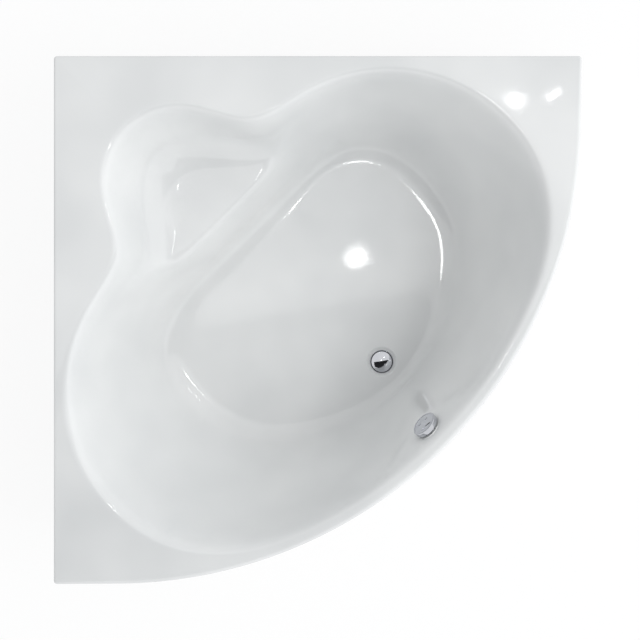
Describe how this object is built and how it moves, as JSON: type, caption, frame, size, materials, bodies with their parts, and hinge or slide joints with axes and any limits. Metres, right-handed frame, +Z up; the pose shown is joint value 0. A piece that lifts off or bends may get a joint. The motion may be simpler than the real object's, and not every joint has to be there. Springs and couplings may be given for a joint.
{
  "type": "corner bathtub",
  "caption": "Corner bath with bowed front, heart-shaped basin with corner seat, rotary overflow control, pop-up waste and trap, tube frame with levelling feet and front panel.",
  "frame": {"origin": "centre of the square footprint, on the floor under the feet", "axes": "+Z up; the room's walls are the planes X = -0.75 m and Y = +0.75 m; the bow faces +X and -Y"},
  "size_m": [1.5, 1.5, 0.6],
  "materials": {
    "acrylic": "gloss",
    "galvanised": "satin",
    "chrome": "polished",
    "board": "matt",
    "rubber": "matt",
    "white_plastic": "satin",
    "grey_plastic": "matt",
    "black_plastic": "matt",
    "brass": "satin"
  },
  "bodies": {
    "bath": {"tub_shell": "acrylic", "front_panel": "acrylic", "wing_rail": "galvanised", "front_rail": "galvanised", "spine_rear": "galvanised", "spine_front": "galvanised", "corner_post": "galvanised", "left_post": "galvanised", "right_post": "galvanised", "deck_plates": "galvanised", "frame_screws": "galvanised", "weld_nuts": "galvanised", "panel_brackets": "galvanised", "panel_clips": "galvanised", "base_board": "board", "drain_flange": "chrome", "overflow_plate": "chrome", "waste_gasket": "rubber", "overflow_gasket": "rubber", "waste_body": "white_plastic", "trap_body": "white_plastic", "trap_nut": "white_plastic", "overflow_body": "white_plastic", "hose_nuts": "white_plastic", "overflow_hose": "grey_plastic"},
    "knob": {"overflow_knob": "chrome", "cable_drum": "brass"},
    "lifter": {"lifter_pin": "brass"},
    "plug": {"plug_cap": "chrome", "plug_seal": "rubber", "plug_stem": "brass"},
    "foot_corner": {"foot_pad_corner": "black_plastic", "foot_stud_corner": "galvanised"},
    "foot_left": {"foot_pad_left": "black_plastic", "foot_stud_left": "galvanised"},
    "foot_right": {"foot_pad_right": "black_plastic", "foot_stud_right": "galvanised"},
    "foot_front_left": {"foot_pad_front_left": "black_plastic", "foot_stud_front_left": "galvanised"},
    "foot_front_right": {"foot_pad_front_right": "black_plastic", "foot_stud_front_right": "galvanised"}
  },
  "joints": [
    {"name": "knob_turn", "type": "hinge", "parent": "bath", "child": "knob", "pos_m": [0.31286, -0.31286, 0.546], "axis": [-0.6493, 0.6493, 0.396], "range_deg": [0, 90]},
    {"name": "lifter_rise", "type": "slide", "parent": "bath", "child": "lifter", "axis": [0, 0, 1], "range_m": [0, 0.012]},
    {"name": "plug_lift", "type": "slide", "parent": "lifter", "child": "plug", "axis": [0, 0, 1], "range_m": [0, 0.06]},
    {"name": "foot_corner_height", "type": "slide", "parent": "bath", "child": "foot_corner", "axis": [0, 0, 1], "range_m": [-0.02, 0.01]},
    {"name": "foot_left_height", "type": "slide", "parent": "bath", "child": "foot_left", "axis": [0, 0, 1], "range_m": [-0.02, 0.01]},
    {"name": "foot_right_height", "type": "slide", "parent": "bath", "child": "foot_right", "axis": [0, 0, 1], "range_m": [-0.02, 0.01]},
    {"name": "foot_front_left_height", "type": "slide", "parent": "bath", "child": "foot_front_left", "axis": [0, 0, 1], "range_m": [-0.02, 0.01]},
    {"name": "foot_front_right_height", "type": "slide", "parent": "bath", "child": "foot_front_right", "axis": [0, 0, 1], "range_m": [-0.02, 0.01]}
  ],
  "couplings": [
    {"joint": "lifter_rise", "follows": "knob_turn", "m_per_rad": 0.0076}
  ]
}
